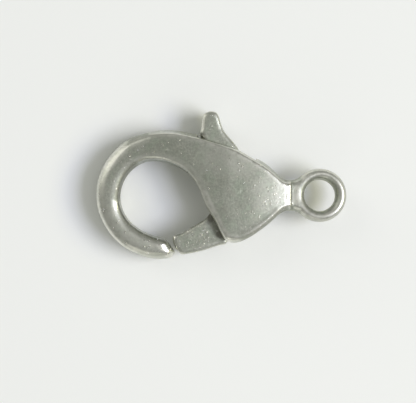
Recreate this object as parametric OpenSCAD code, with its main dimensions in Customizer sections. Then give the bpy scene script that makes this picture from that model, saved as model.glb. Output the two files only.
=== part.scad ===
// Lobster clasp: a cast body with a hook, a flat housing and a ring, and a sprung lever
// that closes the hook. Its middle plane is at z = 0, and front and back are alike.
// The origin is the centre of the ring's hole, +X points from the hook to the ring,
// +Y to the thumb piece and +Z out of the front face.

/* [Ring] */
// Diameter of the ring's hole
ring_hole_d = 1.9; // [1.6:0.02:2.2]
// Width of the ring's rim, seen from above
ring_rim = 0.65; // [0.5:0.01:0.8]
// Thickness of the ring and of the neck
ring_t = 1.3; // [1.1:0.05:1.6]
// Width of the flat of the hole's wall, along its axis
ring_wall = 0.5; // [0.3:0.05:0.8]

/* [Neck] */
// Width of the neck at its narrowest
neck_w = 1.84; // [1.5:0.02:2.2]
// Distance from the ring's centre to the neck's narrowest place
neck_x = 1.85; // [1.75:0.01:2.1]
// Distance from the ring's centre to the crease where the housing begins to rise
crease_x = 1.75; // [1.65:0.01:2.0]

/* [Housing] */
// Thickness of the housing at its thickest
housing_t = 2.9; // [2.7:0.05:3.4]
// Height of the step at the crease
crease_h = 0.55; // [0.4:0.01:0.6]
// Length of the slope from the crease up to full thickness
slope_l = 4.4; // [3.8:0.1:5.0]
// How far each face falls from the thickest place to the eye's centre
face_fall = 0.25; // [0.18:0.01:0.3]
// Height of the upper edge above the axis, where the hook begins
top_h = 3.72; // [3.5:0.02:4.0]
// Distance from the ring's centre to that place
root_x = 7.6; // [7.3:0.05:7.9]
// Depth of the lower corner below the axis
corner_h = 2.86; // [2.6:0.02:3.1]
// Distance from the ring's centre to the lower corner
corner_x = 5.3; // [5.0:0.05:5.6]

/* [Hook] */
// Diameter of the hook's eye
eye_d = 4.38; // [4.0:0.02:4.8]
// Distance from the ring's centre to the eye's centre
eye_x = 9.8; // [9.5:0.05:10.2]
// Depth of the eye's centre below the axis
eye_h = 0.11; // [0:0.01:0.3]
// Width of the hook at its crown, seen from above
hook_w = 1.45; // [1.2:0.05:1.8]
// Thickness of the hook
hook_t = 2.05; // [1.8:0.05:2.3]
// Width of the rounded or bevelled edges
edge_r = 0.5; // [0.35:0.01:0.6]

/* [Lever] */
// Thickness of the lever
lever_t = 1.4; // [1.1:0.05:1.6]
// Gap between the lever and each wall of its slot
slot_gap = 0.08; // [0.05:0.01:0.15]
// Gap between the lever's edges and what they pass
edge_gap = 0.12; // [0.08:0.01:0.2]
// Gap between the closed gate and the hook's tip
tip_gap = 0.15; // [0.12:0.01:0.25]
// Rounding of the lever's edges
lever_r = 0.2; // [0.1:0.01:0.22]
// Distance from the ring's centre to the middle of the thumb piece
thumb_x = 6.53; // [6.4:0.01:6.7]
// Height of the thumb piece's top above the axis
thumb_h = 5.03; // [4.7:0.01:5.4]
// Width of the thumb piece
thumb_w = 1.1; // [0.95:0.01:1.2]
// How far the lever turns when it is opened
open_angle = 20; // [12:1:24]

/* [Pivot] */
// Distance from the ring's centre to the pivot
pivot_x = 4.7; // [4.5:0.05:4.9]
// Height of the pivot above the axis
pivot_h = 0.15; // [0:0.05:0.4]
// Diameter of the pivot pin
pin_d = 0.8; // [0.7:0.02:0.9]
// Running gap round the pin in the lever
pin_gap = 0.03; // [0.02:0.01:0.05]
// Metal left over the pin's blind end in the front wall
pin_cover = 0.3; // [0.2:0.02:0.5]
// Width of the lever's hub
hub_d = 2.36; // [2.2:0.02:2.5]

/* [Spring] */
// Diameter of the spring's wire
wire_d = 0.2; // [0.14:0.01:0.22]
// Turns of the spring round the pin
spring_turns = 2.5; // [1.5:0.5:2.5]
// Gap between the spring and what is next to it
spring_gap = 0.05; // [0.04:0.01:0.07]

/* [Smoothness] */
// Steps between two sections of the body
steps = 3; // [2:1:4]
// Steps over each rounded edge
round_steps = 4; // [3:1:6]

/* [Hidden] */
$fn = 48;

pewter = [0.60, 0.60, 0.56];
pewter_dark = [0.52, 0.53, 0.49];
steel = [0.66, 0.66, 0.66];

ring_r = ring_hole_d / 2;
ring_R = ring_r + ring_rim;
ridge_r = ring_r + 0.54 * ring_rim;
eye_c = [-eye_x, -eye_h];
eye_r = eye_d / 2;
pivot = [-pivot_x, pivot_h];
slot_t = lever_t + 2 * slot_gap;
crown_x = crease_x + 0.87 * slope_l; // distance from the ring's centre to the thickest place
hub_r = hub_d / 2;

function polar(c, r, a) = c + r * [cos(a), sin(a)];
// a point at t along the way from a to b, and o to the left of it, both as shares of that way
function beside(a, b, t, o) = a + t * (b - a) + o * [a[1] - b[1], b[0] - a[0]];
function unit(v) = v / norm(v);
function mix(a, b, t) = a + t * (b - a);
function curve(a, b, c, d, t) =
    0.5 * (2 * b + (c - a) * t + (2 * a - 5 * b + 4 * c - d) * t * t + (3 * b - a - 3 * c + d) * t * t * t);
// rows between the given ones, on a smooth curve through them
function smooth_open(r, n) = let (m = len(r)) concat(
    [for (i = [0:m - 2], k = [0:n - 1])
        curve(r[max(i - 1, 0)], r[i], r[i + 1], r[min(i + 2, m - 1)], k / n)], [r[m - 1]]);
function smooth_closed(r, n) = let (m = len(r))
    [for (i = [0:m - 1], k = [0:n - 1])
        curve(r[(i + m - 1) % m], r[i], r[(i + 1) % m], r[(i + 2) % m], k / n)];

// The places that the outline runs between
top_p = [-root_x, top_h];
neck_top = [-neck_x, neck_w / 2];
neck_low = [-neck_x, -neck_w / 2];
corner_p = [-corner_x, -corner_h];
mouth_p = polar(eye_c, eye_r, 45);

// Each section is a line across the body in plan, from its inner to its outer end. The last seven
// columns are: outer draft, outer round, outer side, inner draft, inner round, inner side, and how
// far the section has the housing's thickness. Drafts and rounds are shares of edge_r, and sides
// are shares of the thickness there.

// Hook, from the tip: inner angle, inner radius as a share of the eye's, outer angle, outer reach
// past the eye as a share of hook_w, thickness as a share of hook_t, then the seven columns
HOOK = [
    [281.5, 1.150, 288.5, 0.90, 0.62, 0.20, 0.62, 0.55, 0.20, 0.60, 0.50, 0],
    [277, 1.110, 283, 1.07, 0.90, 0.14, 0.90, 0.60, 0.12, 0.90, 0.50, 0],
    [266, 1.050, 268, 1.04, 0.95, 0.12, 0.90, 0.68, 0.12, 0.90, 0.62, 0],
    [253, 1.010, 256, 1.00, 0.97, 0.12, 0.88, 0.72, 0.12, 0.86, 0.72, 0],
    [240, 0.990, 240, 0.98, 0.99, 0.12, 0.88, 0.72, 0.10, 0.86, 0.76, 0],
    [225, 0.990, 225, 0.96, 1.00, 0.12, 0.90, 0.71, 0.10, 0.88, 0.78, 0],
    [210, 0.985, 210, 0.95, 1.00, 0.12, 0.94, 0.70, 0.10, 0.90, 0.78, 0],
    [195, 0.990, 195, 0.98, 1.00, 0.12, 0.98, 0.68, 0.10, 0.90, 0.78, 0],
    [180, 1.000, 180, 1.00, 1.00, 0.12, 1.02, 0.66, 0.10, 0.90, 0.77, 0],
    [165, 1.000, 165, 1.04, 1.00, 0.12, 1.06, 0.64, 0.10, 0.86, 0.76, 0.02],
    [150, 1.005, 150, 1.07, 1.00, 0.14, 1.06, 0.64, 0.10, 0.80, 0.76, 0.07],
    [135, 1.010, 135, 1.11, 1.00, 0.18, 1.04, 0.66, 0.10, 0.74, 0.76, 0.18],
    [120, 1.015, 120, 1.176, 1.00, 0.26, 0.98, 0.70, 0.11, 0.66, 0.78, 0.36],
    [105, 1.010, 105, 1.183, 1.00, 0.38, 0.92, 0.76, 0.12, 0.58, 0.80, 0.58],
    [90, 0.990, 90, 1.255, 1.00, 0.50, 0.84, 0.83, 0.12, 0.52, 0.83, 0.78],
    [75, 0.985, 75, 1.380, 1.00, 0.58, 0.80, 0.89, 0.12, 0.46, 0.86, 0.93],
    [60, 0.995, 60, 1.536, 1.00, 0.62, 0.78, 0.92, 0.12, 0.44, 0.88, 1],
    [46, 1.035, 51, 1.716, 1.00, 0.62, 0.78, 0.93, 0.12, 0.46, 0.90, 1]];

// Housing along the mouth: along and beside the line from the eye to the lower corner, along and
// beside the line from the upper edge to the neck, then six edge columns
MOUTH = [
    [0.10, 0.048, 0.223, 0.042, 0.62, 0.78, 0.93, 0.12, 0.50, 0.90],
    [0.25, 0.046, 0.313, 0.055, 0.62, 0.78, 0.93, 0.12, 0.54, 0.90],
    [0.415, 0.012, 0.394, 0.065, 0.62, 0.78, 0.93, 0.12, 0.58, 0.89],
    [0.555, -0.016, 0.463, 0.067, 0.62, 0.78, 0.93, 0.12, 0.62, 0.88],
    [0.70, -0.028, 0.526, 0.063, 0.62, 0.78, 0.93, 0.14, 0.66, 0.87],
    [0.84, -0.050, 0.590, 0.058, 0.62, 0.78, 0.93, 0.16, 0.68, 0.86],
    [0.94, -0.052, 0.635, 0.054, 0.62, 0.78, 0.93, 0.18, 0.70, 0.85]];

// Housing along its lower edge: along and beside the line from the corner to the neck, then as above
BELLY = [
    [0.00, 0.000, 0.680, 0.051, 0.62, 0.78, 0.93, 0.20, 0.72, 0.84],
    [0.131, -0.050, 0.726, 0.046, 0.62, 0.78, 0.92, 0.20, 0.74, 0.83],
    [0.299, -0.061, 0.763, 0.040, 0.62, 0.78, 0.91, 0.20, 0.74, 0.82],
    [0.466, -0.048, 0.799, 0.031, 0.60, 0.78, 0.90, 0.20, 0.72, 0.80],
    [0.622, -0.028, 0.835, 0.019, 0.56, 0.76, 0.87, 0.20, 0.70, 0.78],
    [0.754, 0.002, 0.877, 0.003, 0.50, 0.74, 0.83, 0.20, 0.66, 0.75],
    [0.869, 0.026, 0.927, -0.011, 0.42, 0.70, 0.78, 0.20, 0.62, 0.72],
    [0.953, 0.019, 0.975, -0.009, 0.36, 0.66, 0.73, 0.20, 0.60, 0.70]];

// Neck from the crease to the ring: distance from the ring's centre as a share of crease_x, half
// width as a share of the way from the neck's to the ring's, then outer draft, round and side
NECK = [
    [1.00, 0.000, 0.26, 0.60, 0.68],
    [0.86, 0.060, 0.24, 0.60, 0.64],
    [0.69, 0.270, 0.22, 0.70, 0.50],
    [0.56, 0.500, 0.24, 1.10, 0.30],
    [0.44, 0.540, 0.30, 1.30, 0.20]];

function hook_row(r) = concat(polar(eye_c, eye_r * r[1], r[0]), polar(eye_c, eye_r + hook_w * r[3], r[2]),
    [r[4]], [for (i = [5:11]) r[i]]);
function house_row(r, a, b) = concat(beside(a, b, r[0], r[1]), beside(top_p, neck_top, r[2], r[3]),
    [1], [for (i = [4:9]) r[i]], [1]);
function neck_row(r) = let (x = -crease_x * r[0], y = mix(neck_w / 2, ring_R, r[1]))
    [x, -y, x, y, 1, r[2], r[3], r[4], r[2], r[3], r[4], 1];

rows_a = concat([for (r = HOOK) hook_row(r)],
    [for (r = MOUTH) house_row(r, mouth_p, corner_p)],
    [for (r = BELLY) house_row(r, corner_p, neck_low)],
    [neck_row(NECK[0])]);
rows_b = [for (r = NECK) neck_row(r)];
body_a = smooth_open(rows_a, steps);
body_b = smooth_open(rows_b, steps);
sections = concat(body_a, [for (i = [1:len(body_b) - 1]) body_b[i]]);

// half thickness of the housing at a place along the clasp: that of the neck up to the crease, a
// step there, the slope up to the thickest place and the fall towards the hook
function house_half(x) = let (u = min(max((-x - crease_x) / slope_l, 0), 1))
    u <= 0 ? ring_t / 2
    : mix(ring_t / 2 + crease_h, housing_t / 2, 1 - pow(1 - u, 3.2))
        - face_fall * max(-x - crown_x, 0) / (eye_x - crown_x);
function half_at(row, p) = mix(row[4] * hook_t / 2, house_half(p[0]), row[11]);

// one rounded edge, from the middle plane up: distance in from the rim, share of the thickness
function edge(draft, round, side) = concat([[0, 0]],
    [for (k = [0:round_steps]) let (a = 90 * k / round_steps, c = 0.35)
        [edge_r * mix(draft, round, mix(1 - cos(a), a / 90, c)), mix(side, 1, mix(sin(a), a / 90, c))]]);
// the upper half of a section, from its outer to its inner end, as points in space
function upper(row) = let (
    i_p = [row[0], row[1]], o_p = [row[2], row[3]], u = unit(i_p - o_p), w = norm(i_p - o_p),
    e_o = edge(row[5], row[6], row[7]), e_i = edge(row[8], row[9], row[10]), n = len(e_o) - 1,
    flat_a = e_o[n][0], flat_b = w - e_i[n][0],
    s = concat(e_o, [for (k = [1:3]) [mix(flat_a, flat_b, k / 4), 1]],
        [for (k = [n:-1:0]) [w - e_i[k][0], e_i[k][1]]]))
    [for (q = s) let (p = o_p + u * q[0]) [p[0], p[1], q[1] * half_at(row, p)]];
function section(row) = let (h = upper(row), m = len(h))
    concat(h, [for (k = [m - 2:-1:1]) [h[k][0], h[k][1], -h[k][2]]]);

// closed skin over rings of points that all have as many, with its ends closed round their middles
function middle(r) = [for (k = [0:len(r) - 1]) 1] * r / len(r);
module skin(rings) {
    n = len(rings[0]);
    m = len(rings);
    polyhedron(
        points = concat([for (r = rings, p = r) p], [middle(rings[0]), middle(rings[m - 1])]),
        faces = concat(
            [for (k = [0:n - 1]) [(k + 1) % n, k, m * n]],
            [for (j = [0:m - 2], k = [0:n - 1]) let (a = j * n + k, b = j * n + (k + 1) % n) [a, b, b + n]],
            [for (j = [0:m - 2], k = [0:n - 1]) let (a = j * n + k, b = j * n + (k + 1) % n) [a, b + n, a + n]],
            [for (k = [0:n - 1]) let (a = (m - 1) * n) [a + k, a + (k + 1) % n, m * n + 1]]));
}
// triangles across a flat outline from one end of it to the other, always to the nearer point ahead:
// i counts up along one side and j down along the other
function across(p, i, j) = let (n = len(p), a = i % n, b = j % n, c = (i + 1) % n, d = (j - 1) % n)
    j - i < 2 ? [] : norm(p[c] - p[b]) < norm(p[a] - p[d])
        ? concat([[a, c, b]], across(p, i + 1, j))
        : concat([[a, d, b]], across(p, i, j - 1));
// closed skin over rings whose end faces are flat but not convex, with start the place of a corner
// at one end
module plate_skin(rings, start) {
    n = len(rings[0]);
    m = len(rings);
    cap = across(rings[0], start, start + n - 1);
    polyhedron(
        points = [for (r = rings, p = r) p],
        faces = concat(
            [for (j = [0:m - 2], k = [0:n - 1]) let (a = j * n + k, b = j * n + (k + 1) % n) [a, b, b + n]],
            [for (j = [0:m - 2], k = [0:n - 1]) let (a = j * n + k, b = j * n + (k + 1) % n) [a, b + n, a + n]],
            [for (f = cap) [f[2], f[1], f[0]]],
            [for (f = cap) [for (q = f) (m - 1) * n + q]]));
}

// Lever's outline. Its gate ends beside the hook's tip and leaves the housing at the mouth.
tip_in = [rows_a[0][0], rows_a[0][1]];
tip_out = [rows_a[0][2], rows_a[0][3]];
tip_along = unit(tip_out - tip_in);
tip_off = [-tip_along[1], tip_along[0]];
gate_top = tip_in + tip_gap * (2.9 * tip_off + 0.93 * tip_along);
gate_low = tip_out + tip_gap * (1.15 * tip_off + 1.93 * tip_along);
gate_in = beside(mouth_p, corner_p, 0.58, -0.015);
gate_out = beside(mouth_p, corner_p, 0.955, -0.05);
thumb_l = -thumb_x - thumb_w / 2;
thumb_r = -thumb_x + thumb_w / 2;
function thumb_y(s) = mix(top_h, thumb_h, s);
// where a flank of the lever is, as shares of the way from the thumb piece's foot to the pivot
foot_l = [thumb_l - 0.1 * thumb_w, thumb_y(-0.06)];
foot_r = beside(top_p, neck_top, 0.42, 0.066);

lever_points = concat(
    // gate: its lower edge, from the housing to the tip, its end and its upper edge
    [gate_out + edge_gap * [0.4, -0.5]],
    [for (q = [[0.125, -0.005], [0.31, 0.015], [0.49, 0.027], [0.67, 0.030], [0.84, 0.018], [0.935, 0.012]])
        beside(gate_out - edge_gap * [0, 0.8], gate_low, q[0], q[1])],
    [for (q = [[0.05, -0.02], [0.24, 0.043], [0.51, 0.070], [0.75, 0.062]])
        beside(gate_low, gate_top, q[0], q[1])],
    [for (q = [[0.034, -0.009], [0.18, -0.05], [0.31, -0.060], [0.44, -0.055],
               [0.57, -0.061], [0.75, -0.060], [0.86, -0.05], [1.0, 0.0]])
        beside(gate_top, gate_in, q[0], q[1])],
    // hidden arm up to the hub, and the hidden web from the hub to the thumb piece's foot
    [mix(gate_in, polar(pivot, hub_r, 175), 0.5), polar(pivot, hub_r, 172), polar(pivot, hub_r, 150)],
    [mix(polar(pivot, hub_r, 140), foot_l, 0.45) + edge_gap * [-0.2, 0.4],
     mix(polar(pivot, hub_r, 140), foot_l, 0.8)],
    // thumb piece
    [foot_l, [thumb_l - 0.04 * thumb_w, thumb_y(0.2)], [thumb_l, thumb_y(0.5)],
     [thumb_l + 0.05 * thumb_w, thumb_y(0.76)], [thumb_l + 0.2 * thumb_w, thumb_y(0.93)],
     [-thumb_x, thumb_y(1)], [thumb_r - 0.2 * thumb_w, thumb_y(0.93)],
     [thumb_r - 0.04 * thumb_w, thumb_y(0.68)], [thumb_r + 0.07 * thumb_w, thumb_y(0.36)],
     [thumb_r + 0.22 * thumb_w, thumb_y(0.07)], mix([thumb_r + 0.22 * thumb_w, thumb_y(0.07)], foot_r, 0.5),
     foot_r],
    // hidden right flank down to the hub, round it and along the arm
    [mix(foot_r, polar(pivot, hub_r, 40), 0.35), mix(foot_r, polar(pivot, hub_r, 40), 0.7)],
    [for (a = [30, 5, -20, -45, -70]) polar(pivot, hub_r, a)],
    [mix(polar(pivot, hub_r, -100), gate_out, 0.28), mix(polar(pivot, hub_r, -100), gate_out, 0.68)]);
lever_outline = smooth_closed(lever_points, 3);
gate_corner = 3 * 11; // which point of it is the gate's upper corner

// a clockwise outline moved in by d, point by point, and by less where it turns in a tighter curve
function reach(a, b, c, d) = let (turn = cross(b - a, c - b))
    turn < 0 ? min(d, 0.35 * norm(b - a) * norm(c - b) * norm(c - a) / -turn) : d;
function inset(p, d) = let (m = len(p),
    r = [for (i = [0:m - 1]) reach(p[(i + m - 2) % m], p[i], p[(i + 2) % m], d)])
    [for (i = [0:m - 1]) let (a = (i + m - 1) % m, b = (i + 1) % m, t = unit(p[b] - p[a]))
        p[i] + min(r[a], r[i], r[b]) * [t[1], -t[0]]];
// rings of a flat plate with rounded edges
function plate(p, t, r) = let (n = 3,
    up = [for (k = [0:n]) let (a = 90 * k / n)
        [for (q = inset(p, r * (1 - cos(a)))) [q[0], q[1], t / 2 - r + r * sin(a)]]])
    concat([for (k = [n:-1:0]) [for (q = up[k]) [q[0], q[1], -q[2]]]], up);

// Slot through the housing, from the mouth to the upper edge, round the lever and its travel
function turned(p, a) = let (v = p - pivot)
    pivot + [v[0] * cos(a) + v[1] * sin(a), v[1] * cos(a) - v[0] * sin(a)];
flank = turned(foot_r, open_angle);
slot_points = concat(
    [[foot_l[0] - edge_gap, thumb_h], foot_l - edge_gap * [1, 0.8],
     mix(foot_l, mouth_p, 0.5) + edge_gap * [0.8, 1.7], mouth_p + edge_gap * [2.1, -0.8],
     mouth_p - eye_r * [0.18, 0.41], beside(mouth_p, corner_p, 0.6, -0.2),
     gate_out + eye_r * [-0.32, 0.05], gate_out - eye_r * [0.23, 0.46], gate_out + eye_r * [0.11, -0.46],
     gate_out + edge_gap * [1.9, -0.8],
     mix(polar(pivot, hub_r, -100), gate_out, 0.68) + [edge_gap * 1.6, 0]],
    [for (a = [-85:17:34]) polar(pivot, hub_r + 1.6 * edge_gap, a)],
    [[flank[0] + 1.8 * edge_gap, mix(pivot_h, flank[1], 0.6)], flank + edge_gap * [1.2, 0.8],
     [flank[0] + 1.2 * edge_gap, thumb_h]]);

// The ring's rim without its hole, and the hole with its rounded mouths
function rim_curve(r0, r1, z0, z1) = [for (k = [0:5]) let (a = 18 * k)
    [mix(r0, r1, sin(a)), mix(z0, z1, 1 - cos(a))]];
module ring_disc() {
    c = rim_curve(ridge_r, ring_R, ring_t / 2, 0.12 * ring_t);
    rotate_extrude($fn = 96) polygon(concat([[0, ring_t / 2]], c, [for (k = [5:-1:0]) [c[k][0], -c[k][1]]],
        [[0, -ring_t / 2]]));
}
module ring_hole() {
    c = rim_curve(ridge_r, ring_r, ring_t / 2, ring_wall / 2);
    rotate_extrude($fn = 96) polygon(concat([[0, ring_t], [ridge_r, ring_t]], c,
        [for (k = [5:-1:0]) [c[k][0], -c[k][1]]], [[ridge_r, -ring_t], [0, -ring_t]]));
}

// The pin's foot is flush with the back, and its end is blind in the front wall
pin_foot = house_half(pivot[0] + pin_d / 2);
pin_end = pin_foot - pin_cover;
module body() {
    color(pewter) difference() {
        union() {
            skin([for (k = [len(sections) - 1:-1:0]) section(sections[k])]);
            ring_disc();
        }
        ring_hole();
        translate([0, 0, -slot_t / 2]) linear_extrude(slot_t) polygon(slot_points);
        translate([pivot[0], pivot[1], -housing_t])
            cylinder(d = pin_d, h = housing_t + pin_end);
    }
}

// The hub is cut away at the back for the spring, with a notch that the spring's leg stands in
coil_r = pin_d / 2 + spring_gap + wire_d / 2;
well_r = coil_r + wire_d / 2 + spring_gap;
pitch = 1.06 * wire_d;
coil_z = 0.55 * wire_d - lever_t / 2;
well_z = coil_z + spring_turns * pitch + wire_d / 2 + spring_gap;
notch_z = coil_z + wire_d / 2 + spring_gap;
leg_a = -12;
module lever() {
    color(pewter_dark) difference() {
        plate_skin(plate(lever_outline, lever_t, lever_r), gate_corner);
        translate([pivot[0], pivot[1], -lever_t]) cylinder(d = pin_d + 2 * pin_gap, h = 2 * lever_t);
        translate([pivot[0], pivot[1], -lever_t]) cylinder(r = well_r, h = lever_t + well_z);
        translate([0, 0, -lever_t]) linear_extrude(lever_t + notch_z)
            polygon(concat([pivot], [for (k = [0:4])
                polar(pivot, 1.6 * hub_r, leg_a - 76 + k * (open_angle + 64) / 4)]));
    }
}

module pivot_pin() {
    color(steel) translate([pivot[0], pivot[1], -pin_foot]) cylinder(d = pin_d, h = pin_foot + pin_end);
}

// Coil of wire round the pin, whose leg reaches the slot's wall beside the hub
function coil_point(a) = concat(polar(pivot, coil_r, leg_a - 90 - a), [coil_z + pitch * a / 360]);
leg_l = hub_r;
coil_path = concat([for (k = [2:-1:1]) coil_point(0) + leg_l * k / 2 * [cos(leg_a), sin(leg_a), 0]],
    [for (k = [0:20 * spring_turns]) coil_point(18 * k)]);
function sweep(p, r, sides) = let (m = len(p)) [for (i = [0:m - 1])
    let (t = unit(p[min(i + 1, m - 1)] - p[max(i - 1, 0)]), u = unit(cross(t, [0, 0, 1])), v = cross(u, t))
    [for (k = [0:sides - 1]) let (a = 360 * k / sides) p[i] + r * (cos(a) * u + sin(a) * v)]];
module return_spring() {
    color(steel) skin(sweep(coil_path, wire_d / 2, 8));
}

body();
lever();
pivot_pin();
return_spring();
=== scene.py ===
"""Dresses a lobster clasp: a cast body and a sprung lever in worn plating, with their pin and spring."""

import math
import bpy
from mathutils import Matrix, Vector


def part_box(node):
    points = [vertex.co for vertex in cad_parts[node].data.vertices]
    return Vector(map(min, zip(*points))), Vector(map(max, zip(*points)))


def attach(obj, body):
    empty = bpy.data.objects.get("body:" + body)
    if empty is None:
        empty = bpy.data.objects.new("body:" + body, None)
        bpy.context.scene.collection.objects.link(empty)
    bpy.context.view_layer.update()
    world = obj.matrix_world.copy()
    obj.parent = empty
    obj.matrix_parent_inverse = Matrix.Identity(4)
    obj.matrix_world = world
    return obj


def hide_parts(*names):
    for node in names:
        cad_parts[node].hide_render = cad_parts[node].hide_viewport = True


bl_info = {
    "name": "Lobster Clasp",
    "version": (1, 0, 0),
    "blender": (4, 5, 0),
    "location": "View3D > Sidebar > Clasp",
    "description": "Casts the skins of a small lobster clasp, plates and ages them and sets the stage",
    "category": "Object",
}

import bmesh
import bpy
import numpy as np
from bpy.props import FloatProperty, FloatVectorProperty, IntProperty, PointerProperty
from mathutils import Matrix, Vector

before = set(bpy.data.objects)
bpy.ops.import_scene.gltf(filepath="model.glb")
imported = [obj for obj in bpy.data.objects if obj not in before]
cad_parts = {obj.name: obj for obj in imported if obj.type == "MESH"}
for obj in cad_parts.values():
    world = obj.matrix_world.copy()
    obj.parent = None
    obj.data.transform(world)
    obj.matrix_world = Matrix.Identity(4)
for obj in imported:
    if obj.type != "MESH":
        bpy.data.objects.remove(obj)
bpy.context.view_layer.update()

MM = 0.001
CLASP_BODY = "clasp"
LEVER_BODY = "lever"

# Points of a mesh that are nearer to each other than this become one point, in mm
SAME_POINT = 0.0004

# Widths of the humps of the casting's slow and fine unevenness, and the smallest and largest pit's
# radius, in mm
SWELL_WIDTH = 1.7
RIPPLE_WIDTH = 0.42
PIT_RADII = (0.05, 0.13)

PIN_LOW, PIN_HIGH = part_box("pivot_pin")
PIVOT = (PIN_LOW + PIN_HIGH) / 2 / MM
PIN_RADIUS = (PIN_HIGH.x - PIN_LOW.x) / 2 / MM
BODY_LOW, BODY_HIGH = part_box("body")
SPRING_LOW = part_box("return_spring")[0]


class CastingSettings(bpy.types.PropertyGroup):
    """Sizes of the cast skins, in millimetres."""

    body_voxel: FloatProperty(
        name="Body mesh size", description="Edge of the body's faces", default=0.055, min=0.03
    )
    lever_voxel: FloatProperty(
        name="Lever mesh size", description="Edge of the lever's faces", default=0.035, min=0.02
    )
    body_passes: IntProperty(
        name="Body smoothing", description="Times the body's skin is evened out", default=14
    )
    lever_passes: IntProperty(
        name="Lever smoothing", description="Times the lever's skin is evened out", default=18
    )
    swell: FloatProperty(
        name="Swell", description="Height of the casting's slow unevenness", default=0.006
    )
    ripple: FloatProperty(
        name="Ripple", description="Height of its finer unevenness", default=0.0012
    )
    lever_relief: FloatProperty(
        name="Lever relief", description="Share of the unevenness that the lever has", default=0.6
    )
    body_rounding: IntProperty(
        name="Body rounding", description="How far tumbling has rounded the body", default=5
    )
    lever_rounding: IntProperty(
        name="Lever rounding", description="How far it has rounded the lever", default=16
    )
    crown: FloatProperty(
        name="Crown", description="How far the hook's top falls to its edges", default=0.09
    )
    pit_depth: FloatProperty(name="Pit depth", description="Depth of a casting pit", default=0.008)
    pits: IntProperty(name="Pits", description="How many pits the body has", default=16)


class PlatingSettings(bpy.types.PropertyGroup):
    """Colours of the metal."""

    plating: FloatVectorProperty(
        name="Plating",
        description="Clean antiqued plating",
        subtype="COLOR",
        default=(0.58, 0.59, 0.515),
    )
    dull: FloatVectorProperty(
        name="Dulled plating",
        description="Plating dulled by handling",
        subtype="COLOR",
        default=(0.45, 0.47, 0.395),
    )
    # Worn metal, which also paints the highlights, reflections and glints that strokes and flakes put on
    bare_and_highlight: FloatVectorProperty(
        name="Worn metal",
        description="Metal worn bright on edges",
        subtype="COLOR",
        default=(0.78, 0.77, 0.70),
    )
    blush: FloatVectorProperty(
        name="Blush",
        description="Faint warm patches in the plating",
        subtype="COLOR",
        default=(0.74, 0.66, 0.58),
    )
    tarnish: FloatVectorProperty(
        name="Tarnish",
        description="Faint green patches in the plating",
        subtype="COLOR",
        default=(0.45, 0.53, 0.41),
    )
    # Dark blacking for hollows, which also paints the shade and shadows that strokes put on
    blacking_and_shade: FloatVectorProperty(
        name="Grime",
        description="Dark blacking left in hollows",
        subtype="COLOR",
        default=(0.10, 0.095, 0.075),
    )
    wire: FloatVectorProperty(
        name="Steel",
        description="Steel of the pin and the spring",
        subtype="COLOR",
        default=(0.62, 0.61, 0.59),
    )


class SpringSettings(bpy.types.PropertyGroup):
    """Sizes of the return spring, in millimetres."""

    wire: FloatProperty(name="Wire", description="Diameter of the wire", default=0.2, min=0.05)
    turns: FloatProperty(name="Turns", description="Turns round the pin", default=2.5, min=0.5)
    coil_gap: FloatProperty(name="Gap", description="Gap between the pin and the coil", default=0.05)
    rise: FloatProperty(name="Rise", description="Rise of one turn", default=0.212)
    leg: FloatProperty(name="Leg", description="Length of the leg", default=1.18)
    leg_angle: FloatProperty(
        name="Leg angle",
        description="Way of the leg from +X",
        subtype="ANGLE",
        default=math.radians(-12),
    )


class StageSettings(bpy.types.PropertyGroup):
    """Camera, floor and light."""

    view_distance: FloatProperty(
        name="Camera distance",
        description="From the lens to the middle of the picture",
        unit="LENGTH",
        default=0.070,
    )
    view_width: FloatProperty(
        name="View width", description="Width of the picture at the clasp", unit="LENGTH", default=0.02504
    )
    view_elevation: FloatProperty(
        name="Camera elevation",
        description="Angle above the clasp's middle plane",
        subtype="ANGLE",
        default=math.radians(88),
    )
    floor: FloatVectorProperty(
        name="Floor",
        description="Pale paper under the clasp",
        subtype="COLOR",
        default=(0.855, 0.862, 0.835),
    )
    sky: FloatVectorProperty(
        name="Sky", description="Dim light from all round", subtype="COLOR", default=(0.98, 1.0, 0.95)
    )
    sky_strength: FloatProperty(name="Sky strength", description="Strength of that light", default=0.33)


def lattice(cells, seed):
    """A steady random number from 0 to 1 for each whole-numbered cell."""
    x, y, z = (cells[:, k].astype(np.int64) for k in range(3))
    mixed = (x * 73856093) ^ (y * 19349663) ^ (z * 83492791) ^ (seed * 2654435761)
    mixed = (mixed ^ (mixed >> 13)) * 1274126177
    mixed = (mixed ^ (mixed >> 16)) & 0xFFFFFF
    return mixed / 0xFFFFFF


def ramp(values, low, high):
    """0 below low, 1 above high and straight between them."""
    return np.clip((values - low) / (high - low), 0, 1)


def swells(points, size, seed):
    """Smooth noise from -1 to 1 at each point, whose humps are about as wide as size."""
    scaled = points / size
    cell = np.floor(scaled)
    part = scaled - cell
    part = part * part * (3 - 2 * part)
    total = np.zeros(len(points))
    for corner in np.ndindex(2, 2, 2):
        share = np.prod(np.where(corner, part, 1 - part), axis=1)
        total += share * lattice(cell + corner, seed)
    return 2 * total - 1


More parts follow.
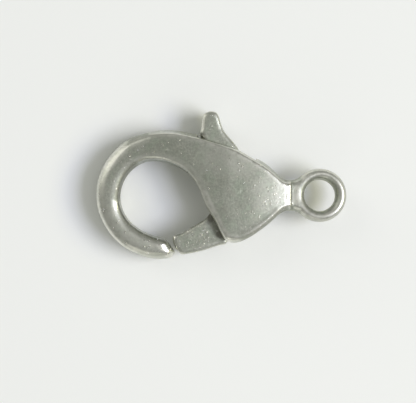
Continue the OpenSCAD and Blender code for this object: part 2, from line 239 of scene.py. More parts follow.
class Skin:
    """A closed mesh of a cast piece, in millimetres, that is evened out and pushed in and out."""

    def __init__(self, node, voxel):
        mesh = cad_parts[node].data.copy()
        mesh.transform(Matrix.Scale(1 / MM, 4))
        shape = bmesh.new()
        shape.from_mesh(mesh)
        bmesh.ops.remove_doubles(shape, verts=shape.verts, dist=SAME_POINT)
        shape.to_mesh(mesh)
        shape.free()
        solid = bpy.data.objects.new(node + "_solid", mesh)
        bpy.context.scene.collection.objects.link(solid)
        even = solid.modifiers.new("Even faces", "REMESH")
        even.mode = "VOXEL"
        even.voxel_size = voxel
        view = bpy.context.evaluated_depsgraph_get()
        self.mesh = bpy.data.meshes.new_from_object(solid.evaluated_get(view))
        bpy.data.objects.remove(solid)
        bpy.data.meshes.remove(mesh)
        count = len(self.mesh.vertices)
        self.points = np.empty(count * 3)
        self.mesh.vertices.foreach_get("co", self.points)
        self.points = self.points.reshape(-1, 3)
        ends = np.empty(len(self.mesh.edges) * 2, np.int64)
        self.mesh.edges.foreach_get("vertices", ends)
        self.start, self.end = ends.reshape(-1, 2).T
        self.degree = np.bincount(self.start, minlength=count) + np.bincount(self.end, minlength=count)

    def around(self, values):
        """The mean of the neighbours' values at each point."""
        columns = values.reshape(len(values), -1)
        total = [
            np.bincount(self.start, column[self.end], len(column))
            + np.bincount(self.end, column[self.start], len(column))
            for column in columns.T
        ]
        return (np.stack(total, axis=1) / self.degree[:, None]).reshape(values.shape)

    def relax(self, passes):
        """Evens the skin out, and swells it back at each pass, so that it keeps its size."""
        for factor in (0.5, -0.52) * passes:
            self.points += factor * (self.around(self.points) - self.points)

    def soften(self, passes):
        """Rounds the edges of the front and the back, and leaves the outline as it is."""
        for _ in range(passes):
            self.points[:, 2] += 0.5 * (self.around(self.points[:, 2]) - self.points[:, 2])

    def normals(self):
        """The way out of the skin at each point."""
        self.mesh.vertices.foreach_set("co", self.points.ravel())
        self.mesh.update()
        found = np.empty(len(self.points) * 3)
        self.mesh.vertex_normals.foreach_get("vector", found)
        return found.reshape(-1, 3)

    def push(self, height):
        """Moves each point out along its normal by its height, or in where that is below 0."""
        self.points += self.normals() * np.asarray(height)[:, None]

    def bend(self, passes):
        """How far each point stands out from the skin around it, in millimetres; hollows are below 0."""
        smooth = self.points.copy()
        for _ in range(passes):
            smooth += 0.5 * (self.around(smooth) - smooth)
        return np.sum((self.points - smooth) * self.normals(), axis=1)

    def keep(self, name, values):
        """Keeps a number for each point, which materials read by name."""
        layer = self.mesh.attributes.new(name, "FLOAT", "POINT")
        layer.data.foreach_set("value", np.asarray(values, np.float32))

    def finish(self, name, material, body, node):
        """Makes the piece from the skin, gives it its material and its body, and hides the node that it
        replaces.
        """
        self.mesh.vertices.foreach_set("co", (self.points * MM).ravel())
        self.mesh.update()
        self.mesh.shade_smooth()
        piece = bpy.data.objects.new(name, self.mesh)
        bpy.context.scene.collection.objects.link(piece)
        self.mesh.materials.clear()
        self.mesh.materials.append(material)
        return settle(piece, body, node)


def settle(piece, body, node):
    """Gives a piece its body and hides the node that it stands for."""
    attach(piece, body)
    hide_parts(node)
    return piece


class Signal:
    """A value in a material's nodes, which sums can be written with."""

    def __init__(self, graph, socket):
        self.graph = graph
        self.socket = socket

    def __add__(self, other):
        return self.graph.maths("ADD", self, other)

    def __radd__(self, other):
        return self.graph.maths("ADD", other, self)

    def __sub__(self, other):
        return self.graph.maths("SUBTRACT", self, other)

    def __rsub__(self, other):
        return self.graph.maths("SUBTRACT", other, self)

    def __mul__(self, other):
        return self.graph.maths("MULTIPLY", self, other)

    def __rmul__(self, other):
        return self.graph.maths("MULTIPLY", other, self)

    def __truediv__(self, other):
        return self.graph.maths("DIVIDE", self, other)


class Graph:
    """A tree of nodes that values are worked out in."""

    def __init__(self, tree):
        self.tree = tree
        self.tree.nodes.clear()

    def add(self, kind, settings=None, sockets=None, out=0):
        """Adds a node with its settings and its sockets' values or links, and returns its output."""
        node = self.tree.nodes.new(kind)
        for name, value in (settings or {}).items():
            setattr(node, name, value)
        for name, value in (sockets or {}).items():
            if isinstance(value, Signal):
                self.tree.links.new(value.socket, node.inputs[name])
            else:
                node.inputs[name].default_value = value
        return None if out is None else Signal(self, node.outputs[out])

    def maths(self, operation, *values):
        """The result of a sum, a product or another operation on values."""
        return self.add("ShaderNodeMath", {"operation": operation}, dict(enumerate(values)))


class Finish(Graph):
    """A material and the nodes that make it."""

    def __init__(self, name):
        self.material = bpy.data.materials.new(name)
        self.material.use_nodes = True
        super().__init__(self.material.node_tree)

    def place(self, size=1.0, shift=(0, 0, 0)):
        """Object coordinates in units of size millimetres."""
        at = self.add("ShaderNodeTexCoord", out="Object")
        scale = 1 / (size * MM)
        return self.add("ShaderNodeMapping", sockets={0: at, "Location": shift, "Scale": (scale,) * 3})

    def noise(self, size, detail=2.0, rough=0.5, shift=(0, 0, 0)):
        """Noise from 0 to 1 with humps about size millimetres wide."""
        spot = self.place(size, shift)
        sockets = {"Vector": spot, "Scale": 1.0, "Detail": detail, "Roughness": rough}
        return self.add("ShaderNodeTexNoise", sockets=sockets)

    def cells(self, size, out, shift=(0, 0, 0)):
        """Cells about size millimetres wide: their own random colour, or the distance to their middle."""
        spot = self.place(size, shift)
        sockets = {"Vector": spot, "Scale": 1.0}
        return self.add("ShaderNodeTexVoronoi", {"feature": "F1"}, sockets, out=out)

    def between(self, value, low, high):
        """0 below low, 1 above high and smooth between them."""
        sockets = {"Value": value, "From Min": low, "From Max": high, "To Min": 0.0, "To Max": 1.0}
        return self.add("ShaderNodeMapRange", {"interpolation_type": "SMOOTHSTEP"}, sockets)

    def kept(self, name):
        """A number that the skin keeps for each point."""
        return self.add("ShaderNodeAttribute", {"attribute_name": name}, out="Fac")

    def mix(self, share, first, second):
        """A colour that goes from the first to the second as share goes from 0 to 1."""
        colours = [c if isinstance(c, Signal) else (*c, 1.0) for c in (first, second)]
        sockets = {0: share, 6: colours[0], 7: colours[1]}
        return self.add("ShaderNodeMix", {"data_type": "RGBA"}, sockets, out=2)

    def surface(self, base_color, roughness, metallic=0.0, bump=None, bump_depth=0.0):
        """Ends the nodes in a surface, whose bump is raised by up to its depth in metres."""
        if not isinstance(base_color, Signal):
            base_color = (*base_color, 1.0)
        sockets = {"Base Color": base_color, "Roughness": roughness, "Metallic": metallic}
        if bump is not None:
            relief = {"Height": bump, "Distance": bump_depth, "Strength": 1.0}
            sockets["Normal"] = self.add("ShaderNodeBump", sockets=relief)
        shader = self.add("ShaderNodeBsdfPrincipled", sockets=sockets)
        self.add("ShaderNodeOutputMaterial", sockets={"Surface": shader}, out=None)
        return self.material


def shaded(colour, share):
    """A colour that is brighter or darker by a share."""
    return tuple(part * share for part in colour)


def aged_plating(name, tone, speckle):
    """Antiqued plating: blotched on flats, bright on worn edges, black in hollows, with a sparkling grain,
    and with highlights and shade painted where the skin's strokes mark them.

    The tone makes it lighter or darker, and the speckle is the share of its flakes that sparkle.
    """
    colours = bpy.context.scene.clasp_plating
    metal = Finish(name)
    wear_and_highlight = metal.kept("wear_and_highlight")
    hollow_and_shade = metal.kept("hollow_and_shade")
    glitter = metal.kept("glitter")

    blotch = metal.noise(1.1, detail=3.0, rough=0.55)
    mottle = metal.noise(0.28, detail=2.0, rough=0.6, shift=(7, 3, 1))
    grain = metal.noise(0.13, detail=2.0, rough=0.7, shift=(2, 9, 4))
    warmed = metal.between(metal.noise(0.55, shift=(4, 4, 9)), 0.52, 0.72)
    greened = metal.between(metal.noise(0.75, detail=3.0, rough=0.6, shift=(8, 1, 5)), 0.46, 0.62)

    # A few of the flakes are painted bright as glints, and more of them where the skin glitters; they are
    # also smoother and raised
    flake = 0.10
    flake_colour = metal.cells(flake, "Color", shift=(1, 2, 3))
    from_middle = metal.cells(flake, "Distance", shift=(1, 2, 3))
    chance = metal.add("ShaderNodeSeparateColor", sockets={0: flake_colour}, out="Red")
    sparkle = metal.between(chance + glitter * 0.09, 1 - speckle, 1 - speckle * 0.6)

    # The colours go on in this order: dulled patches, mottle, tarnish, blush, grain, wear and painted
    # highlights, flakes painted as glints, blacking and painted shade
    dulled = metal.between(0.6 * blotch + 0.4 * mottle, 0.25, 0.70)
    base = metal.mix(dulled, shaded(colours.dull, tone), shaded(colours.plating, tone))
    base = metal.mix(metal.between(mottle, 0.42, 0.60) * 0.50, base, shaded(colours.dull, 0.74))
    base = metal.mix(greened * 0.35, base, colours.tarnish[:])
    base = metal.mix(warmed * 0.10, base, colours.blush[:])
    base = metal.mix(metal.between(grain, 0.34, 0.66) * 0.50, base, shaded(colours.dull, 0.62))
    base = metal.mix(wear_and_highlight * (0.60 + 0.40 * metal.between(mottle, 0.30, 0.62)), base, colours.bare_and_highlight[:])
    base = metal.mix(sparkle * 0.55, base, colours.bare_and_highlight[:])
    base = metal.mix(hollow_and_shade * 0.85, base, colours.blacking_and_shade[:])

    # Worn metal and painted highlights are smoother, and blacking and painted shade are rough and hide the
    # metal
    height = (grain * 1.2 + mottle * 0.15) * (1 - wear_and_highlight * 0.7) + sparkle * (1 - from_middle) * 1.1
    return metal.surface(
        base_color=base,
        roughness=0.38 + (mottle - 0.5) * 0.10 - wear_and_highlight * 0.08 + hollow_and_shade * 0.30 - sparkle * 0.12,
        metallic=1 - hollow_and_shade * 0.7,
        bump=height,
        bump_depth=0.007 * MM,
    )


def plain_steel(name):
    """Bare steel with fine marks from the die that it was drawn through."""
    colours = bpy.context.scene.clasp_plating
    steel = Finish(name)
    drawn = steel.noise(0.12, detail=3.0)
    return steel.surface(
        base_color=steel.mix(drawn * 0.5, colours.wire[:], shaded(colours.wire, 0.7)),
        roughness=0.28 + drawn * 0.12,
        metallic=1.0,
        bump=drawn,
        bump_depth=0.004 * MM,
    )


# Marks that the body has taken: middle in X and Y, length and width, turn in degrees and height, in mm
MARKS = [
    (-4.70, 0.15, 0.30, 0.10, 35, -0.010),
    (-6.15, 3.22, 0.30, 0.11, -12, 0.040),
    (-6.78, -0.85, 0.22, 0.10, -60, 0.040),
    (-9.13, 2.64, 0.14, 0.11, 0, 0.030),
    (-11.40, 3.40, 0.12, 0.10, 0, 0.025),
    (-11.35, 2.10, 0.12, 0.10, 20, 0.025),
]

# Strokes of wear and painted highlight, and of blacking and painted shade: the points that each runs
# through, in X and Y, and its width, in mm, and its strength, which is above 0 for wear and painted
# highlight and below 0 for blacking and painted shade
# Painted highlight along the lip of the mouth, where its rounded edge catches the light
LIP_HIGHLIGHT = [(-6.90, 0.00), (-6.49, -0.90), (-6.21, -1.49), (-5.85, -2.09), (-5.57, -2.66)]
# Painted shade that dims the highlight on the housing's lower rounded edge
LOW_EDGE_SHADE = [(-4.60, -2.42), (-4.17, -2.22), (-3.58, -1.86), (-3.03, -1.44), (-2.66, -1.13), (-2.20, -0.76)]
BODY_STROKES = [
    (LIP_HIGHLIGHT, 0.34, 1.0),
    # Painted highlight along the hook's upper edge
    ([(-7.78, 3.55), (-9.0, 3.72), (-10.2, 3.68)], 0.16, 0.4),
    (LOW_EDGE_SHADE, 0.56, -0.5),
    # Painted highlights on the slope down to the neck
    ([(-2.36, -0.40), (-2.36, 0.25)], 0.80, 0.3),
    ([(-3.55, -0.60), (-3.55, 0.60)], 0.90, 0.25),
    # A thin darker line along the crease at the neck
    ([(-1.69, -0.80), (-1.69, 0.72)], 0.10, -0.3),
    ([(-1.48, -0.30), (-1.48, 0.30)], 0.44, 0.75),
    # Painted highlight on the hook's tip
    ([(-9.55, -2.95), (-9.26, -3.20), (-9.02, -3.56)], 0.32, 1.0),
    # A lighter patch on the housing's upper face and a darker one on its lower face
    ([(-6.4, 2.1), (-4.8, 1.9)], 1.50, 0.38),
    ([(-5.4, -1.9), (-4.9, -1.7)], 0.90, -0.10),
]
LEVER_STROKES = [
    # Painted shadow that the housing's lip casts on the gate
    ([(-6.66, -1.10), (-6.56, -1.46)], 0.24, -0.8),
    ([(-6.55, -1.52), (-6.25, -2.05), (-6.10, -2.28)], 0.48, -0.75),
    ([(-6.04, -2.38), (-5.84, -2.62)], 0.28, -0.7),
    # Painted shade where the thumb goes in under the housing's edge
    ([(-7.10, 3.66), (-6.90, 3.60)], 0.12, -0.7),
    # Painted reflection on the thumb's left flank
    ([(-7.04, 3.95), (-7.00, 4.60)], 0.16, 1.0),
]

# Strokes that run round the hook or the ring, most of them painted highlights, reflections and shade:
# radius, first and last angle in degrees, width, strength
HOOK_MIDDLE = (-9.8, -0.11)
HOOK_RADIUS = 2.92
HOOK_WIDTH = 1.45
HOOK_ARCS = [
    # Painted reflections along the hook's outer side, brightest at its upper left, and painted light along
    # its lower rim and lower part
    (3.40, 98, 124, 0.34, 0.35),
    (3.36, 126, 146, 0.46, 0.95),
    (3.38, 150, 188, 0.44, 0.25),
    (3.42, 188, 250, 0.22, 0.3),
    (3.00, 205, 262, 0.70, 0.22),
    # Blacking and painted shade that dim the highlight on the inner bevel at the upper left
    (2.38, 125, 180, 0.46, -0.55),
    # Painted shade that dims the reflection on the outer side at the top
    (3.62, 82, 114, 0.40, -0.35),
]
RING_MIDDLE = (0.0, 0.0)
RING_ARCS = [
    # Painted shade that dims the highlights on the hole's left wall and the ring's right outer band, and
    # darkens its lower side and the hole's right wall
    (1.12, 125, 235, 0.40, -0.45),
    (1.40, 240, 300, 0.36, -0.15),
    (1.12, -60, 60, 0.26, -0.2),
    (1.46, -50, 40, 0.20, -0.2),
]

# Where the flakes painted bright as glints gather, on slopes where the highlights fall: middle in X and Y,
# radius and strength
BODY_GLITTER = [
    (-3.4, -1.9, 1.0, 1.0),
    (-2.7, -0.1, 1.0, 1.2),
    (-9.9, -3.2, 0.8, 1.0),
    (-12.2, -2.0, 1.2, 0.4),
]
LEVER_GLITTER = [(-7.6, -2.6, 1.4, 1.0)]

# Worn facets: a point on each one's upper edge, the angle it faces, its slope in degrees and its reach
FACETS = [((-9.35, -3.26), 22, 19, 0.64)]

# Radius round that point in which the skin's top is the facet's height, in mm, and the share of its
# reach from which a facet fades
FACET_TOP = 0.08
FACET_FADE = 0.375

# Where a stroke starts to fade and where it ends, as shares of half its width
STROKE_FADE = (0.605, 1.613)

# Angles round the hook's middle, in degrees, over which its crown comes in on the outer side and on
# the inner side, and over which both go out
OUTER_CROWN = (95, 135)
INNER_CROWN = (175, 200)
CROWN_END = (272, 292)

# How far an edge has to stand out to be worn bare, or a hollow in to stay black, in mm
FULL_WEAR = 0.03


def along_stroke(points, path, width):
    """1 near a stroke's line and 0 beyond its width, on the front and the back."""
    nearest = np.full(len(points), np.inf)
    for (x0, y0), (x1, y1) in zip(path, path[1:]):
        way = np.array((x1 - x0, y1 - y0))
        share = np.clip(((points[:, :2] - (x0, y0)) @ way) / (way @ way), 0, 1)
        away = points[:, :2] - (x0, y0) - share[:, None] * way
        nearest = np.minimum(nearest, np.hypot(away[:, 0], away[:, 1]))
    return 1 - ramp(nearest / (0.5 * width), *STROKE_FADE)


def stroke_marks(points, strokes):
    """What the strokes add to a skin's wear and painted highlights; below 0 it is blacking and painted
    shade.
    """
    wear_and_highlight = np.zeros(len(points))
    for path, width, strength in strokes:
        wear_and_highlight += strength * along_stroke(points, path, width)
    return wear_and_highlight


def arc_strokes(middle, arcs):
    """Strokes along arcs that are given by radius, first and last angle, width and strength."""
    strokes = []
    for radius, low, high, width, strength in arcs:
        turns = np.radians(np.linspace(low, high, 13))
        path = [(middle[0] + radius * math.cos(a), middle[1] + radius * math.sin(a)) for a in turns]
        strokes.append((path, width, strength))
    return strokes


def glitter_share(points, places):
    """How much the skin glitters at each point, from 0 to 1."""
    share = np.zeros(len(points))
    for x, y, radius, strength in places:
        away = np.sum((points[:, :2] - (x, y)) ** 2, axis=1) / radius**2
        share = np.maximum(share, strength * np.exp(-away))
    return share


def hook_crown(points, height):
    """How far the hook's rounded faces fall from their middle line to their edges.

    The front falls down and the back rises, and the hook's middle plane stays where it is.
    """
    away = points[:, :2] - HOOK_MIDDLE
    turn = np.degrees(np.arctan2(away[:, 1], away[:, 0])) % 360
    share = ramp(turn, *OUTER_CROWN) * (1 - ramp(turn, *CROWN_END))
    across = (np.hypot(away[:, 0], away[:, 1]) - HOOK_RADIUS) / (0.5 * HOOK_WIDTH)
    share = np.where(across < 0, share * ramp(turn, *INNER_CROWN), share)
    most = 1.2
    whole_from = 0.5
    side = np.clip(points[:, 2] / whole_from, -1, 1)
    return height * share * np.minimum(across**2, most) * side


def file_facets(points, facets):
    """How far down the front is worn to each facet's plane."""
    drop = np.zeros(len(points))
    for spot, way, slope, reach in facets:
        away = points[:, :2] - spot
        far = np.hypot(away[:, 0], away[:, 1])
        out = away @ (math.cos(math.radians(way)), math.sin(math.radians(way)))
        near = (1 - ramp(far, FACET_FADE * reach, reach)) * (points[:, 2] > 0)
        top = np.max(points[far < FACET_TOP, 2])
        plane = top - math.tan(math.radians(slope)) * out
        drop = np.maximum(drop, near * np.where(out > 0, points[:, 2] - plane, 0))
    return drop


def marks_height(points, normals, marks):
    """How far the marks raise the front of a skin."""
    front = normals[:, 2] > 0.2
    height = np.zeros(len(points))
    for x, y, length, width, turn, high in marks:
        away = points[:, :2] - (x, y)
        x_part, y_part = math.cos(math.radians(turn)), math.sin(math.radians(turn))
        along = (away[:, 0] * x_part + away[:, 1] * y_part) / (length / 2)
        across = (away[:, 1] * x_part - away[:, 0] * y_part) / (width / 2)
        height += high * np.exp(-(along**2 + across**2)) * front
    return height


def pits_height(points, count, depth, seed):
    """Small round casting pits at random points of a skin."""
    draw = np.random.default_rng(seed)
    height = np.zeros(len(points))
    for index in draw.integers(0, len(points), count):
        radius = draw.uniform(*PIT_RADII)
        away = np.sum((points - points[index]) ** 2, axis=1)
        near = away < (3 * radius) ** 2
        height[near] -= depth * draw.uniform(0.4, 1.0) * np.exp(-away[near] / radius**2)
    return height


def cast_relief(skin, sizes, seed, pits):
    """Slow and fine unevenness of cast metal that was tumbled."""
    height = sizes.swell * swells(skin.points, SWELL_WIDTH, seed)
    height += sizes.ripple * swells(skin.points, RIPPLE_WIDTH, seed + 1)
    height += pits_height(skin.points, pits, sizes.pit_depth, seed + 2)
    return height


def keep_marks(skin, strokes, glitter):
    """Keeps how worn the skin is, on its edges, how black, in its hollows, and how much it glitters, with
    the strokes' painted highlights and painted shade.
    """
    stroked = stroke_marks(skin.points, strokes)
    fine = skin.bend(passes=10)
    broad = skin.bend(passes=60)
    edge = (0.6 * fine + 0.4 * broad) / FULL_WEAR
    dip = -(0.7 * fine + 0.3 * broad) / FULL_WEAR
    skin.keep("wear_and_highlight", np.clip(edge + stroked, 0, 1))
    skin.keep("hollow_and_shade", np.clip(np.maximum(dip, 0) - stroked, 0, 1))
    skin.keep("glitter", glitter_share(skin.points, glitter))


class CLASP_OT_cast_body(bpy.types.Operator):
    """Casts the body's skin with its hook, housing and ring"""

    bl_idname = "clasp.cast_body"
    bl_label = "Cast Body"

    def execute(self, context):
        sizes = context.scene.clasp_casting
        skin = Skin("body", sizes.body_voxel)
        skin.relax(sizes.body_passes)
        skin.soften(sizes.body_rounding)
        height = cast_relief(skin, sizes, seed=11, pits=sizes.pits)
        height += marks_height(skin.points, skin.normals(), MARKS)
        skin.push(height)
        skin.points[:, 2] -= hook_crown(skin.points, sizes.crown)
        skin.points[:, 2] -= file_facets(skin.points, FACETS)
        strokes = [*BODY_STROKES, *arc_strokes(HOOK_MIDDLE, HOOK_ARCS), *arc_strokes(RING_MIDDLE, RING_ARCS)]
        keep_marks(skin, strokes, BODY_GLITTER)
        plating = aged_plating("antiqued_body", tone=1.0, speckle=0.012)
        skin.finish("cast_body", plating, CLASP_BODY, "body")
        return {"FINISHED"}


class CLASP_OT_cast_lever(bpy.types.Operator):
    """Casts the lever's skin with its thumb piece and gate"""

    bl_idname = "clasp.cast_lever"
    bl_label = "Cast Lever"

    def execute(self, context):
        sizes = context.scene.clasp_casting
        skin = Skin("lever", sizes.lever_voxel)
        skin.relax(sizes.lever_passes)
        skin.soften(sizes.lever_rounding)
        skin.push(sizes.lever_relief * cast_relief(skin, sizes, seed=31, pits=sizes.pits // 3))
        keep_marks(skin, LEVER_STROKES, LEVER_GLITTER)
        plating = aged_plating("antiqued_lever", tone=1.10, speckle=0.02)
        skin.finish("cast_lever", plating, LEVER_BODY, "lever")
        return {"FINISHED"}


class CLASP_OT_turn_pin(bpy.types.Operator):
    """Turns the pivot pin, with a chamfer at each end and a faintly domed foot"""

    bl_idname = "clasp.turn_pin"
    bl_label = "Turn Pin"

    def execute(self, context):
        sides = 48
        low, high = PIN_LOW.z / MM, PIN_HIGH.z / MM
        chamfer = 0.05
        dome = 0.01
        profile = [
            (0.0, low - dome),
            (0.5 * PIN_RADIUS, low - 0.8 * dome),
            (PIN_RADIUS - chamfer, low),
            (PIN_RADIUS, low + chamfer),
            (PIN_RADIUS, high - chamfer),
            (PIN_RADIUS - chamfer, high),
            (0.0, high),
        ]
        shape = bmesh.new()
        rings = []
        for radius, z in profile:
            angles = [2 * math.pi * k / sides for k in range(sides)] if radius else [0.0]
            spots = [(PIVOT.x + radius * math.cos(a), PIVOT.y + radius * math.sin(a), z) for a in angles]
            rings.append([shape.verts.new(spot) for spot in spots])
        for lower, upper in zip(rings, rings[1:]):
            for k in range(sides):
                corners = [lower[k % len(lower)], lower[(k + 1) % len(lower)]]
                corners += [upper[(k + 1) % len(upper)], upper[k % len(upper)]]
                shape.faces.new(list(dict.fromkeys(corners)))
        bmesh.ops.recalc_face_normals(shape, faces=shape.faces)
        mesh = bpy.data.meshes.new("turned_pin")
        shape.to_mesh(mesh)
        shape.free()
        mesh.transform(Matrix.Scale(MM, 4))
        mesh.materials.append(plain_steel("pin_steel"))
        piece = bpy.data.objects.new("turned_pin", mesh)
        context.scene.collection.objects.link(piece)
        settle(piece, CLASP_BODY, "pivot_pin")
        return {"FINISHED"}


class WirePath(Graph):
    """Nodes that wind a wire round the pin, with a straight leg at its start."""

    def __init__(self, material):
        super().__init__(bpy.data.node_groups.new("wound_wire", "GeometryNodeTree"))
        self.sockets = {}
        self.entry = self.tree.nodes.new("NodeGroupInput")
        self.tree.interface.new_socket("Geometry", in_out="OUTPUT", socket_type="NodeSocketGeometry")
        coil = self.number("Coil radius")
        wire = self.number("Wire radius")
        turns = self.number("Turns")
        rise = self.number("Rise")
        leg = self.number("Leg")
        way = self.number("Leg angle")
        start = self.number("Start height")
        turn = 2 * math.pi
        turn_points = 24
        leg_points = 6
        wire_sides = 14
        count = self.maths("CEIL", turns * turn_points) + (leg_points + 1)
        index = self.add("GeometryNodeInputIndex")
        wound = self.maths("MAXIMUM", index - leg_points, 0.0) * (turns * turn)
        wound = wound / (count - (leg_points + 1))
        left = self.maths("MAXIMUM", leg_points - index, 0.0) * leg / leg_points
        angle = way - math.pi / 2 - wound
        spot = self.add(
            "ShaderNodeCombineXYZ",
            sockets={
                0: coil * self.maths("COSINE", angle) + left * self.maths("COSINE", way),
                1: coil * self.maths("SINE", angle) + left * self.maths("SINE", way),
                2: start + rise * wound / turn,
            },
        )
        line = self.add("GeometryNodeCurvePrimitiveLine")
        line = self.add("GeometryNodeResampleCurve", sockets={"Curve": line, "Count": count})
        path = self.add("GeometryNodeSetPosition", sockets={"Geometry": line, "Position": spot})
        circle = {"Resolution": wire_sides, "Radius": wire}
        circle = self.add("GeometryNodeCurvePrimitiveCircle", {"mode": "RADIUS"}, circle)
        tube = {"Curve": path, "Profile Curve": circle, "Fill Caps": True}
        tube = self.add("GeometryNodeCurveToMesh", sockets=tube)
        tube = self.add("GeometryNodeRealizeInstances", sockets={"Geometry": tube})
        tube = self.add("GeometryNodeSetMaterial", sockets={"Geometry": tube, "Material": material})
        end = self.tree.nodes.new("NodeGroupOutput")
        self.tree.links.new(tube.socket, end.inputs[0])

    def number(self, name):
        """A named input of the nodes."""
        socket = self.tree.interface.new_socket(name, in_out="INPUT", socket_type="NodeSocketFloat")
        self.sockets[name] = socket.identifier
        return Signal(self, self.entry.outputs[name])

    def make(self, name, **values):
        """The plain mesh that the nodes make of the given values."""
        empty = bpy.data.meshes.new(name + "_holder")
        holder = bpy.data.objects.new(name + "_holder", empty)
        bpy.context.scene.collection.objects.link(holder)
        winding = holder.modifiers.new("Wound wire", "NODES")
        winding.node_group = self.tree
        for key, value in values.items():
            winding[self.sockets[key.replace("_", " ").capitalize()]] = value
        view = bpy.context.evaluated_depsgraph_get()
        mesh = bpy.data.meshes.new_from_object(holder.evaluated_get(view))
        bpy.data.objects.remove(holder)
        bpy.data.meshes.remove(empty)
        return mesh


class CLASP_OT_wind_spring(bpy.types.Operator):
    """Winds the return spring round the pin"""

    bl_idname = "clasp.wind_spring"
    bl_label = "Wind Spring"

    def execute(self, context):
        sizes = context.scene.clasp_spring
        path = WirePath(plain_steel("spring_steel"))
        mesh = path.make(
            "wound_spring",
            coil_radius=PIN_RADIUS + sizes.coil_gap + sizes.wire / 2,
            wire_radius=sizes.wire / 2,
            turns=sizes.turns,
            rise=sizes.rise,
            leg=sizes.leg,
            leg_angle=sizes.leg_angle,
            start_height=SPRING_LOW.z / MM + sizes.wire / 2,
        )
        mesh.transform(Matrix.Translation((PIVOT.x, PIVOT.y, 0.0)))
        mesh.transform(Matrix.Scale(MM, 4))
        shape = bmesh.new()
        shape.from_mesh(mesh)
        bmesh.ops.remove_doubles(shape, verts=shape.verts, dist=SAME_POINT * MM)
        bmesh.ops.recalc_face_normals(shape, faces=shape.faces)
        shape.to_mesh(mesh)
        shape.free()
        mesh.shade_smooth()
        piece = bpy.data.objects.new("wound_spring", mesh)
        context.scene.collection.objects.link(piece)
        settle(piece, CLASP_BODY, "return_spring")
        return {"FINISHED"}


# The middle of the picture in X and Y, in mm
VIEW_MIDDLE = (-6.71, -0.37)

# How far from the clasp the lights stand, in metres, and the spot that they face, in mm
LIGHT_DISTANCE = 0.60
LIT_SPOT = (-6.0, 0.0)

# Soft lights: name, the angle it comes from, counted from +X towards +Y, its height in degrees, its
# own width and height in metres, and what it gives an unshaded floor in red, green and blue
LIGHTS = [
    ("window", -10, 48, (0.42, 0.26), (0.383, 0.390, 0.480)),
    ("lamp", -6, 34, (0.40, 0.16), (0.155, 0.148, 0.085)),
    ("right_card", -4, 68, (0.34, 0.34), (0.072, 0.072, 0.070)),
    ("left_card", 140, 48, (0.30, 0.30), (0.040, 0.040, 0.038)),
    ("low_left_card", 150, 20, (0.36, 0.36), (0.028, 0.028, 0.026)),
    ("front_card", -105, 24, (0.40, 0.40), (0.026, 0.026, 0.024)),
]


class CLASP_OT_set_stage(bpy.types.Operator):
    """Lays the floor and places the light and the camera"""

    bl_idname = "clasp.set_stage"
    bl_label = "Set Stage"

    def execute(self, context):
        stage = context.scene.clasp_stage
        lay_floor(stage)
        for light in LIGHTS:
            soft_light(*light)
        light_sky(stage)
        place_camera(context.scene, stage)
        return {"FINISHED"}


def resting_line():
    """Height of the floor under the origin and its rise along X, where the clasp rests on its back.

    It touches one point of the hook and one of the housing. Which points these are depends on the
    rise, so both are found in turns until they settle.
    """
    count = len(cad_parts["body"].data.vertices)
    points = np.empty(count * 3)
    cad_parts["body"].data.vertices.foreach_get("co", points)
    side = points.reshape(-1, 3)[:, [0, 2]]
    middle = (BODY_LOW.x + BODY_HIGH.x) / 2
    on_hook = side[:, 0] < middle - 3 * MM
    rise = 0.0
    for _ in range(20):
        height = side[:, 1] - rise * (side[:, 0] - middle)
        left, right = (side[part][np.argmin(height[part])] for part in (on_hook, ~on_hook))
        rise = (right[1] - left[1]) / (right[0] - left[0])
    return right[1] - rise * right[0], rise


def lay_floor(stage):
    """A sheet of pale paper that the clasp rests on, which leans as the clasp does."""
    reach = 0.4
    level, rise = resting_line()
    mesh = bpy.data.meshes.new("paper")
    corners = [(-reach, -reach), (reach, -reach), (reach, reach), (-reach, reach)]
    mesh.from_pydata([(x, y, level + rise * x) for x, y in corners], [], [(0, 1, 2, 3)])
    paper = Finish("pale_paper")
    mesh.materials.append(paper.surface(base_color=stage.floor[:], roughness=0.9))
    floor = bpy.data.objects.new("paper", mesh)
    bpy.context.scene.collection.objects.link(floor)


def soft_light(name, azimuth, elevation, size, floor_share):
    """A round light that faces the clasp and gives an unshaded floor its share of the light."""
    turn, lift = math.radians(azimuth), math.radians(elevation)
    way = Vector((math.cos(turn) * math.cos(lift), math.sin(turn) * math.cos(lift), math.sin(lift)))
    strongest = max(floor_share)
    light = bpy.data.lights.new(name, "AREA")
    light.shape = "ELLIPSE"
    light.size, light.size_y = size
    light.energy = strongest * (math.pi * LIGHT_DISTANCE) ** 2 / math.sin(lift)
    light.color = [part / strongest for part in floor_share]
    lamp = bpy.data.objects.new(name, light)
    lamp.location = Vector((LIT_SPOT[0] * MM, LIT_SPOT[1] * MM, BODY_LOW.z)) + LIGHT_DISTANCE * way
    lamp.rotation_euler = (-way).to_track_quat("-Z", "Y").to_euler()
    bpy.context.scene.collection.objects.link(lamp)


def light_sky(stage):
    """Dim light from all round."""
    world = bpy.data.worlds.new("studio")
    bpy.context.scene.world = world
    world.use_nodes = True
    background = world.node_tree.nodes["Background"]
    background.inputs[0].default_value = (*stage.sky, 1.0)
    background.inputs[1].default_value = stage.sky_strength


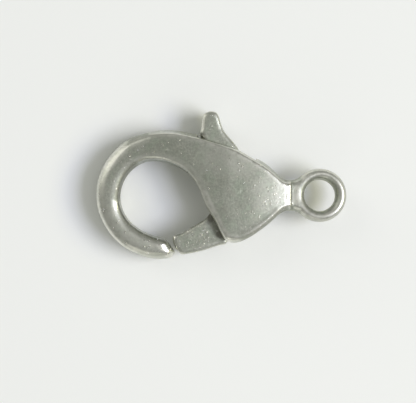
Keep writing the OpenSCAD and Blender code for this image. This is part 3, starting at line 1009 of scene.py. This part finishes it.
def place_camera(scene, stage):
    """A camera above the clasp, at the photograph's angle, that sees the view width."""
    middle = Vector((*VIEW_MIDDLE, 0.0)) * MM
    lens = bpy.data.cameras.new("view")
    lens.lens = lens.sensor_width * stage.view_distance / stage.view_width
    lens.clip_start = 0.001
    lens.clip_end = 5.0
    camera = bpy.data.objects.new("view", lens)
    back = Vector((0.0, -math.cos(stage.view_elevation), math.sin(stage.view_elevation)))
    camera.location = middle + stage.view_distance * back
    camera.rotation_euler = (math.pi / 2 - stage.view_elevation, 0.0, 0.0)
    scene.collection.objects.link(camera)
    scene.camera = camera
    scene.view_settings.view_transform = "Standard"


class CLASP_PT_sidebar(bpy.types.Panel):
    """Shows the clasp's settings and steps"""

    bl_idname = "CLASP_PT_sidebar"
    bl_label = "Lobster Clasp"
    bl_space_type = "VIEW_3D"
    bl_region_type = "UI"
    bl_category = "Clasp"

    def draw(self, context):
        scene = context.scene
        groups = (scene.clasp_casting, scene.clasp_plating, scene.clasp_spring, scene.clasp_stage)
        for settings in groups:
            box = self.layout.box()
            for name in type(settings).__annotations__:
                box.prop(settings, name)
        for step in STEPS:
            self.layout.operator(step.bl_idname)


SETTINGS = (CastingSettings, PlatingSettings, SpringSettings, StageSettings)
STEPS = (
    CLASP_OT_set_stage,
    CLASP_OT_cast_body,
    CLASP_OT_cast_lever,
    CLASP_OT_turn_pin,
    CLASP_OT_wind_spring,
)
CLASSES = (*SETTINGS, *STEPS, CLASP_PT_sidebar)


def register():
    for kind in CLASSES:
        bpy.utils.register_class(kind)
    bpy.types.Scene.clasp_casting = PointerProperty(type=CastingSettings)
    bpy.types.Scene.clasp_plating = PointerProperty(type=PlatingSettings)
    bpy.types.Scene.clasp_spring = PointerProperty(type=SpringSettings)
    bpy.types.Scene.clasp_stage = PointerProperty(type=StageSettings)


def unregister():
    del bpy.types.Scene.clasp_stage
    del bpy.types.Scene.clasp_spring
    del bpy.types.Scene.clasp_plating
    del bpy.types.Scene.clasp_casting
    for kind in reversed(CLASSES):
        bpy.utils.unregister_class(kind)


def main():
    """Sets the stage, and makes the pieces."""
    register()
    bpy.ops.clasp.set_stage()
    bpy.ops.clasp.cast_body()
    bpy.ops.clasp.cast_lever()
    bpy.ops.clasp.turn_pin()
    bpy.ops.clasp.wind_spring()


if __name__ == "__main__":
    main()
